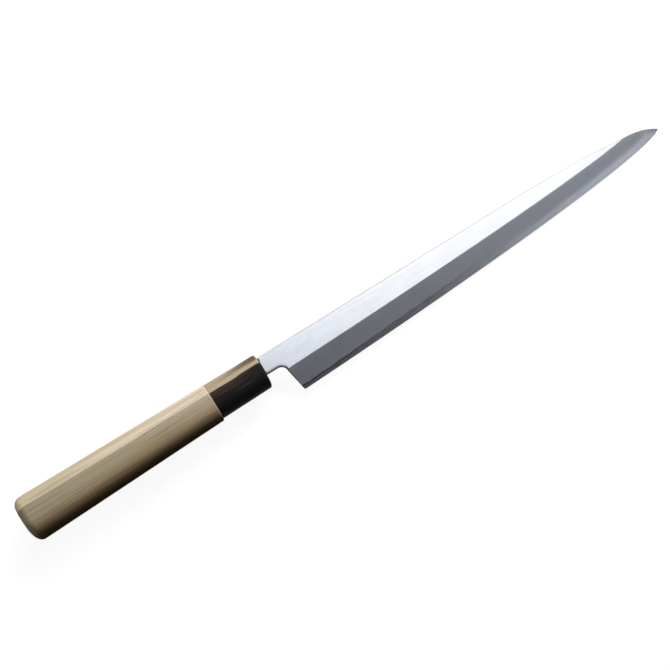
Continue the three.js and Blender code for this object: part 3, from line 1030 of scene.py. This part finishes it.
def forge_scale(finishes):
    """Tang and inside of the weld: dark skin left from the forge; on the underside of the neck the same dark
    is painted shade.
    """
    return worked_metal(
        "forge_scale",
        finishes.scale,
        marks={"Stretch": 3.0, "Cloud": 4 * MM},
        shade=("Clouds", 0.6),
        rough=("Lines", 0.5, 0.75),
        relief=("Clouds", 0.3, 0.1 * MM),
        metallic=0.7,
    )


def polished_edge(finishes):
    """Hard steel of the edge and the back's rim: clearer than the iron, and dark at the heel by a weld line
    that is partly a painted reflection.
    """
    material, tree = new_material("polished_edge")
    place = knife_place(tree)
    marks = use_group(tree, grinding_marks, place, **EDGE_MARKS)
    along = parts_of(tree, place)["X"]
    to_edge = add(tree, "ShaderNodeAttribute", attribute_name=TO_EDGE).outputs["Fac"]
    crisp = span(tree, along, *(part * STEEL_HIGH.x for part in CRISP_TO_SOFT), 1.0, 0.0)
    clear = math_node(tree, "MAXIMUM", crisp, span(tree, to_edge, 0.0, CLEARING))
    tone = Vector(finishes.edge)
    polished = mix(tree, marks["Clouds"], tone * EDGE_DARKEST, tone)
    # Darkening towards the heel: partly a real weld line, partly a painted dark reflection
    weld_and_reflection_darkness = span(tree, along, *WELD_LINE_PLACES, *WELD_LINE_AND_REFLECTION_DARKNESS, smooth=False)
    by_weld = math_node(tree, "MULTIPLY", crisp, span(tree, to_edge, *WELD_LINE_FADE, 1.0, 0.0))
    polished = mix(tree, math_node(tree, "MULTIPLY", weld_and_reflection_darkness, by_weld), polished, finishes.weld)
    polish = scaled(tree, marks["Lines"], *EDGE_ROUGHNESS)
    shader(tree, {
        "Base Color": mix(tree, clear, finishes.bevel, polished),
        "Metallic": 1.0,
        "Roughness": scaled(tree, clear, SOFT_ROUGHNESS, polish, smooth=False),
        "Normal": bump(tree, marks["Lines"], EDGE_RELIEF, POLISH_DEPTH),
    })
    return material


# Wood

WIDE_GRAIN = {"Width": 3 * MM, "Stretch": 45.0, "Wander": 0.3}
FINE_GRAIN = {"Width": 0.8 * MM, "Stretch": 60.0, "Wander": 0.2}
# Share of pale wood at the butt and at the ferrule, and how far the wide grain swings it
PALE_SHARES = (-0.3, 1.0)
GRAIN_SWING = (-0.5, 0.5)
# Span of the fine grain's masks that is darker, and how much
DARK_LINES = (0.5, 1.0, 0.0, 0.5)
DARK_FIBRES = (0.5, 1.0, 0.0, 0.25)
# Pale front rim, behind the ferrule
PALE_RIM = (-1.2 * MM, -0.4 * MM)
# Tint of the lower side, partly browned by the hand and partly painted shade: height where it is full and
# where it ends, and its rise towards the ferrule
LOWER_BROWNING_AND_SHADE = (
    ("wood_handled", -14 * MM, -6 * MM, 4 * MM),
    ("wood_under", -18.5 * MM, -12.5 * MM, 2 * MM),
)
WOOD_ROUGHNESS = (0.55, 0.65)
WOOD_RELIEF = (0.2, 0.05 * MM)


def bare_wood(finishes):
    """Handle: pale, fine-grained wood, sanded and left bare, darker on its lower side, partly browned by the
    hand and partly painted shade.
    """
    material, tree = new_material("bare_wood")
    place = knife_place(tree)
    parts = parts_of(tree, place)
    grain = use_group(tree, lengthwise_streaks, place, **WIDE_GRAIN)
    fine = use_group(tree, lengthwise_streaks, place, **FINE_GRAIN)
    grip = (WOOD_LOW.x, HORN_LOW.x)
    to_front = span(tree, parts["X"], *grip, *PALE_SHARES, smooth=False)
    broad = math_node(tree, "ADD", to_front, scaled(tree, grain["Bands"], *GRAIN_SWING))
    tone = mix(tree, broad, finishes.wood_warm, finishes.wood_pale)
    tone = mix(tree, span(tree, fine["Bands"], *DARK_LINES), tone, finishes.wood_dark)
    tone = mix(tree, span(tree, fine["Fibres"], *DARK_FIBRES), tone, finishes.wood_dark)
    rim = span(tree, parts["X"], *(HORN_LOW.x + reach for reach in PALE_RIM))
    tone = mix(tree, rim, tone, finishes.wood_pale)
    # Darker lower side: partly browned by the hand, partly painted shade
    for tint, full, none, front_rise in LOWER_BROWNING_AND_SHADE:
        rise = span(tree, parts["X"], *grip, 0.0, front_rise)
        lower = span(tree, math_node(tree, "SUBTRACT", parts["Y"], rise), full, none, 1.0, 0.0)
        tone = mix(tree, lower, tone, getattr(finishes, tint), "MULTIPLY")
    shader(tree, {
        "Base Color": tone,
        "Roughness": scaled(tree, fine["Fibres"], *WOOD_ROUGHNESS),
        "Specular IOR Level": 0.0,
        "Normal": bump(tree, fine["Fibres"], *WOOD_RELIEF),
    })
    return material


# Horn

HORN_FLOW = {"Width": 1.6 * MM, "Stretch": 14.0, "Wander": 0.6}
# Levels are heights, 0 at the ridge and 1 at the top, down to this many below the ridge
LOWEST_LEVEL = -2.0
LEVEL_WOBBLE = (-0.07, 0.07)
RIDGE_LEVELS = (-0.06, 0.06)
# Brown streak: its level, half its width and its strength, at the wood and at the mouth, and its soft rim
STREAK_MIDDLE = (0.5, 0.8)
STREAK_HALF = (0.04, 0.3)
STREAK_STRENGTH = (0.1, 1.0)
STREAK_RIM = (-0.05, 0.1)
# Dull part of the pale facet: its levels, and the span of the fibres that is dull and how much
DULL_LEVELS = (0.45, 0.7)
DULL_FIBRES = (0.4, 1.0, 0.0, 0.3)
# Reddish part: share of the ferrule's length that it reaches over, its strength there and its levels
RED_REACH = 0.7
RED_STRENGTH = (1.0, 0.15)
RED_LEVELS = (-1.1, -0.05)
# Grey bands in the dark horn, partly smoky horn and partly a painted sheen: the span of the bands and how
# much, and their levels
SMOKE_AND_SHEEN_BANDS = (0.45, 1.0, 0.0, 0.6)
SMOKE_AND_SHEEN_LEVELS = (-2.0, -1.2)
HORN_ROUGHNESS = (0.34, 0.42)
HORN_RELIEF = (0.08, 0.03 * MM)
HORN_SHEEN = 0.1


def polished_horn(finishes):
    """Ferrule: polished horn, dark, with a pale facet above the ridge and a brown streak along it."""
    material, tree = new_material("polished_horn")
    place = knife_place(tree)
    flow = use_group(tree, lengthwise_streaks, place, **HORN_FLOW)
    parts = parts_of(tree, place)
    sizes = bpy.context.scene.knife_handle
    top = (sizes.ferrule_front_above + sizes.ferrule_back_above) / 2
    lowest = top - (1 - LOWEST_LEVEL) * sizes.ridge_drop
    up_facet = span(tree, parts["Y"], lowest, top, LOWEST_LEVEL, 1.0, smooth=False)
    level = math_node(tree, "ADD", up_facet, scaled(tree, flow["Bands"], *LEVEL_WOBBLE))
    sleeve = (-sizes.ferrule_length, 0.0)
    middle = span(tree, parts["X"], *sleeve, *STREAK_MIDDLE, smooth=False)
    half = span(tree, parts["X"], *sleeve, *STREAK_HALF, smooth=False)
    from_middle = math_node(tree, "ABSOLUTE", math_node(tree, "SUBTRACT", level, middle))
    streak = span(tree, math_node(tree, "SUBTRACT", from_middle, half), *STREAK_RIM, 1.0, 0.0)
    streak = math_node(tree, "MULTIPLY", streak, span(tree, parts["X"], *sleeve, *STREAK_STRENGTH))
    pale = mix(tree, span(tree, level, *DULL_LEVELS), finishes.horn_tan, finishes.horn_olive)
    pale = mix(tree, span(tree, flow["Fibres"], *DULL_FIBRES), pale, finishes.horn_olive)
    pale = mix(tree, streak, pale, finishes.horn_brown)
    red = span(tree, parts["X"], -RED_REACH * sizes.ferrule_length, 0.0, *RED_STRENGTH)
    red = math_node(tree, "MULTIPLY", red, span(tree, level, *RED_LEVELS))
    # Grey streaks on the upper part of the dark horn: partly smoke in the horn, partly painted sheen
    smoke_and_sheen = span(tree, flow["Bands"], *SMOKE_AND_SHEEN_BANDS)
    smoke_and_sheen = math_node(tree, "MULTIPLY", smoke_and_sheen, span(tree, level, *SMOKE_AND_SHEEN_LEVELS))
    dark = mix(tree, smoke_and_sheen, finishes.horn_black, finishes.horn_smoke)
    dark = mix(tree, red, dark, finishes.horn_red)
    shader(tree, {
        "Base Color": mix(tree, span(tree, level, *RIDGE_LEVELS), dark, pale),
        "Roughness": scaled(tree, flow["Fibres"], *HORN_ROUGHNESS),
        "Specular IOR Level": HORN_SHEEN,
        "Normal": bump(tree, flow["Fibres"], *HORN_RELIEF),
    })
    return material


# Stage

FLOOR_SEGMENTS = 96
RIM_STEPS = 10
WHITE = (1, 1, 1, 1)
COOL = (0.87, 0.91, 1, 1)
SENSOR_WIDTH = 36
# Power of a lamp for each square metre and unit of its strength
LAMP_POWER = 4
# How far upward the room's walls end and its ceiling begins, as the height of a way of length 1
WALLS_TO_CEILING = (0.45, 0.8)
# Lamps: strength, place, point that each faces, width and height, tint, and whether it lights matt surfaces
# or is a card that polished ones show
LAMPS = {
    "key_panel": ("key_light", (0.42, 0.58, 0.46), (-0.05, 0, 0.02), (1.0, 0.3), WHITE, True),
    "butt_softbox": ("butt_light", (-0.9, 0.2, 0.35), (-0.2, 0, 0.01), (0.5, 0.3), WHITE, True),
    "top_card": ("top_light", (0.43, -0.1, 1.0), (0.43, -0.1, 0), (0.56, 0.28), WHITE, False),
    "neck_card": ("neck_light", (0.06, -0.1, 1.0), (0.06, -0.1, 0), (0.18, 0.28), COOL, False),
    "tip_card": ("tip_light", (0.58, -0.46, 1.0), (0.58, -0.46, 0), (0.44, 0.34), WHITE, False),
    "spine_card": ("spine_light", (0, 0.68, 0.73), (0, 0, 0), (1.6, 1.3), WHITE, False),
}


def floor_material(stage):
    """Pale floor that takes a shadow: white to the camera, in polished parts brighter behind the knife."""
    material, tree = new_material("pale_floor")
    path = add(tree, "ShaderNodeLightPath").outputs
    mirrored = math_node(tree, "MAXIMUM", path["Is Glossy Ray"], path["Is Transmission Ray"])
    seen = math_node(tree, "MAXIMUM", path["Is Camera Ray"], mirrored)
    direct = math_node(tree, "MULTIPLY", path["Is Camera Ray"], stage.floor_glow)
    across = parts_of(tree, add(tree, "ShaderNodeTexCoord").outputs["Object"])["Y"]
    lit = span(tree, across, IRON_LOW.y, 0.0, stage.floor_mirrored_front, stage.floor_mirrored)
    strength = math_node(tree, "ADD", direct, math_node(tree, "MULTIPLY", mirrored, lit))
    glow = add(tree, "ShaderNodeEmission", {"Color": WHITE, "Strength": strength}).outputs[0]
    tone = scaled(tree, seen, stage.floor_bounce, stage.floor_tone, smooth=False)
    plain = add(tree, "ShaderNodeBsdfDiffuse", {"Color": tone}).outputs[0]
    both = add(tree, "ShaderNodeAddShader", {0: glow, 1: plain}).outputs[0]
    add(tree, "ShaderNodeOutputMaterial", {"Surface": both})
    return material


def make_floor(stage):
    """Round floor whose rim curves up into a backdrop: a profile spun about the middle."""
    radius, height = stage.floor_radius, stage.backdrop_height
    mesh = bmesh.new()
    places = [Vector((0, 0, 0)), Vector((radius, 0, 0))]
    for sine, cosine in quarter_turn(RIM_STEPS)[1:]:
        places.append(Vector((radius + height * sine, 0, height * (1 - cosine))))
    corners = [mesh.verts.new(place) for place in places]
    profile = [mesh.edges.new(pair) for pair in zip(corners, corners[1:])]
    bmesh.ops.spin(
        mesh,
        geom=corners + profile,
        cent=(0, 0, 0),
        axis=(0, 0, 1),
        angle=math.tau,
        steps=FLOOR_SEGMENTS,
        use_merge=True,
    )
    bmesh.ops.remove_doubles(mesh, verts=mesh.verts, dist=MERGE_DISTANCE)
    bmesh.ops.recalc_face_normals(mesh, faces=mesh.faces)
    floor = add_mesh("floor", mesh, [floor_material(stage)])


def make_lamps(stage):
    """Soft panel and softbox for wood and horn, and cards that the metal shows."""
    for name, (strength, place, target, (width, height), tint, matt) in LAMPS.items():
        data = bpy.data.lights.new(name, "AREA")
        data.shape = "RECTANGLE"
        data.size, data.size_y = width, height
        data.energy = LAMP_POWER * width * height * getattr(stage, strength)
        data.color = tint[:3]
        lamp = add_object(name, data)
        lamp.location = place
        way = Vector(target) - Vector(place)
        lamp.rotation_euler = way.to_track_quat("-Z", "Y").to_euler()
        lamp.visible_camera = False
        lamp.visible_diffuse = matt
        lamp.visible_glossy = not matt


def make_room(stage):
    """Dim room, whose walls and ceiling show in metal and horn."""
    world = bpy.data.worlds.new("dim_room")
    world.use_nodes = True
    tree = world.node_tree
    tree.nodes.clear()
    upward = parts_of(tree, add(tree, "ShaderNodeTexCoord").outputs["Generated"])["Z"]
    room = span(tree, upward, *WALLS_TO_CEILING, stage.wall_mirrored, stage.ceiling_mirrored)
    mirrored = add(tree, "ShaderNodeLightPath").outputs["Is Glossy Ray"]
    strength = scaled(tree, mirrored, stage.room_light, room, smooth=False)
    light = add(tree, "ShaderNodeBackground", {"Color": WHITE, "Strength": strength}).outputs[0]
    add(tree, "ShaderNodeOutputWorld", {"Surface": light})
    bpy.context.scene.world = world


def make_camera(stage):
    """Camera nearly overhead, leaning to the butt and the spine, with the knife slanting up the picture."""
    behind, over, roll = stage.camera_behind, stage.camera_over, stage.camera_roll
    tilt = Vector((0, math.sin(over), math.cos(over)))
    level = Vector((1, 0, 0))
    out = tilt * math.cos(behind) - level * math.sin(behind)
    along = tilt * math.sin(behind) + level * math.cos(behind)
    across = out.cross(along)
    right = along * math.cos(roll) - across * math.sin(roll)
    up = along * math.sin(roll) + across * math.cos(roll)
    pose = Matrix((right, up, out)).transposed().to_4x4()
    pose.translation = Vector((stage.look_along, stage.look_across, 0)) + out * stage.camera_distance
    data = bpy.data.cameras.new("camera")
    data.sensor_width = SENSOR_WIDTH
    data.lens = stage.camera_focal
    camera = add_object("camera", data)
    camera.matrix_world = KNIFE @ pose
    bpy.context.scene.camera = camera


# Operators and panel

class KNIFE_OT_blade_iron(bpy.types.Operator):
    """Model the iron of the blade, with its neck and tang"""

    bl_idname = "knife.blade_iron"
    bl_label = "Blade iron"

    def execute(self, context):
        finishes = context.scene.knife_finishes
        blade = Blade(context.scene.knife_blade)
        materials = [satin_flat(finishes), hazy_bevel(finishes), forge_scale(finishes)]

        def finish_of(face):
            place, way = face.calc_center_median(), face.normal
            # Faces turned down at the neck take the dark scale as painted shade; the tang's scale is real
            shaded_underside = way.z < UNDERSIDE and way.y < 0 and place.x < blade.sizes.heel_start
            if place.x < blade.sizes.neck_gap or shaded_underside:
                return SCALE_AND_SHADE
            return BEVEL if way.z > FACING and place.y < blade.bevel_line(place.x) else FLAT

        mesh = skin(iron_rings(blade))
        finish_piece("blade_iron", mesh, materials, "blade_body", finish_of)
        return {"FINISHED"}


class KNIFE_OT_edge_steel(bpy.types.Operator):
    """Model the steel layer, with the edge and the hollow back"""

    bl_idname = "knife.edge_steel"
    bl_label = "Edge steel"

    def execute(self, context):
        finishes = context.scene.knife_finishes
        blade = Blade(context.scene.knife_blade)
        rim = blade.sizes.hollow_rim

        def finish_of(face):
            place, way = face.calc_center_median(), face.normal
            if way.z > 0:
                return WELD if blade.lamination(place.x) < place.y and place.x < blade.iron_end else EDGE
            inside = blade.edge(place.x) + rim < place.y < blade.spine(place.x) - rim
            return HOLLOW if way.z < -FACING and inside else EDGE

        mesh = skin(steel_rings(blade))
        column_of = mesh.verts.layers.int["column"]
        to_edge = mesh.verts.layers.float.new(TO_EDGE)
        for vertex in mesh.verts:
            part = (vertex[column_of] - WELD_COLUMNS) / BEVEL_COLUMNS
            vertex[to_edge] = min(max(part, 0), 1)
        materials = [polished_edge(finishes), ground_hollow(finishes), forge_scale(finishes)]
        finish_piece("edge_steel_layer", mesh, materials, "edge_steel", finish_of)
        return {"FINISHED"}


class KNIFE_OT_ferrule(bpy.types.Operator):
    """Model the horn ferrule"""

    bl_idname = "knife.ferrule"
    bl_label = "Horn ferrule"

    def execute(self, context):
        handle = context.scene.knife_handle
        mesh = skin(horn_rings(handle, Blade(context.scene.knife_blade)))
        round_ridge(mesh, handle.ridge_round)
        materials = [polished_horn(context.scene.knife_finishes)]
        finish_piece("ferrule_horn", mesh, materials, "horn_ferrule")
        return {"FINISHED"}


class KNIFE_OT_handle(bpy.types.Operator):
    """Model the wooden grip"""

    bl_idname = "knife.handle"
    bl_label = "Wooden handle"

    def execute(self, context):
        handle = context.scene.knife_handle
        mesh = skin(wood_rings(handle, Blade(context.scene.knife_blade)))
        round_ridge(mesh, handle.ridge_round)
        materials = [bare_wood(context.scene.knife_finishes)]
        finish_piece("handle_wood", mesh, materials, "wood_handle")
        return {"FINISHED"}


class KNIFE_OT_stage(bpy.types.Operator):
    """Set the floor, the lights and the camera"""

    bl_idname = "knife.stage"
    bl_label = "Studio"

    def execute(self, context):
        stage = context.scene.knife_stage
        make_floor(stage)
        make_lamps(stage)
        make_room(stage)
        make_camera(stage)
        context.scene.view_settings.view_transform = "Standard"
        return {"FINISHED"}


OPERATORS = (
    KNIFE_OT_blade_iron,
    KNIFE_OT_edge_steel,
    KNIFE_OT_ferrule,
    KNIFE_OT_handle,
    KNIFE_OT_stage,
)
SETTINGS = {
    "knife_blade": BladeSizes,
    "knife_handle": HandleSizes,
    "knife_finishes": Finishes,
    "knife_stage": StageSettings,
}


class KNIFE_PT_pieces(bpy.types.Panel):
    """Pieces of the knife and their settings"""

    bl_idname = "KNIFE_PT_pieces"
    bl_label = "Fuguhiki Knife"
    bl_space_type = "VIEW_3D"
    bl_region_type = "UI"
    bl_category = "Knife"

    def draw(self, context):
        layout = self.layout
        for operator in OPERATORS:
            layout.operator(operator.bl_idname)
        for name, group in SETTINGS.items():
            layout.label(text=group.__doc__)
            settings = getattr(context.scene, name)
            for setting in group.__annotations__:
                layout.prop(settings, setting)


def register():
    for group in (*SETTINGS.values(), *OPERATORS, KNIFE_PT_pieces):
        bpy.utils.register_class(group)
    for name, group in SETTINGS.items():
        setattr(bpy.types.Scene, name, PointerProperty(type=group))


def unregister():
    for name in SETTINGS:
        delattr(bpy.types.Scene, name)
    for group in (KNIFE_PT_pieces, *OPERATORS, *SETTINGS.values()):
        bpy.utils.unregister_class(group)


def main():
    register()
    bpy.ops.knife.blade_iron()
    bpy.ops.knife.edge_steel()
    bpy.ops.knife.ferrule()
    bpy.ops.knife.handle()
    bpy.ops.knife.stage()


if __name__ == "__main__":
    main()
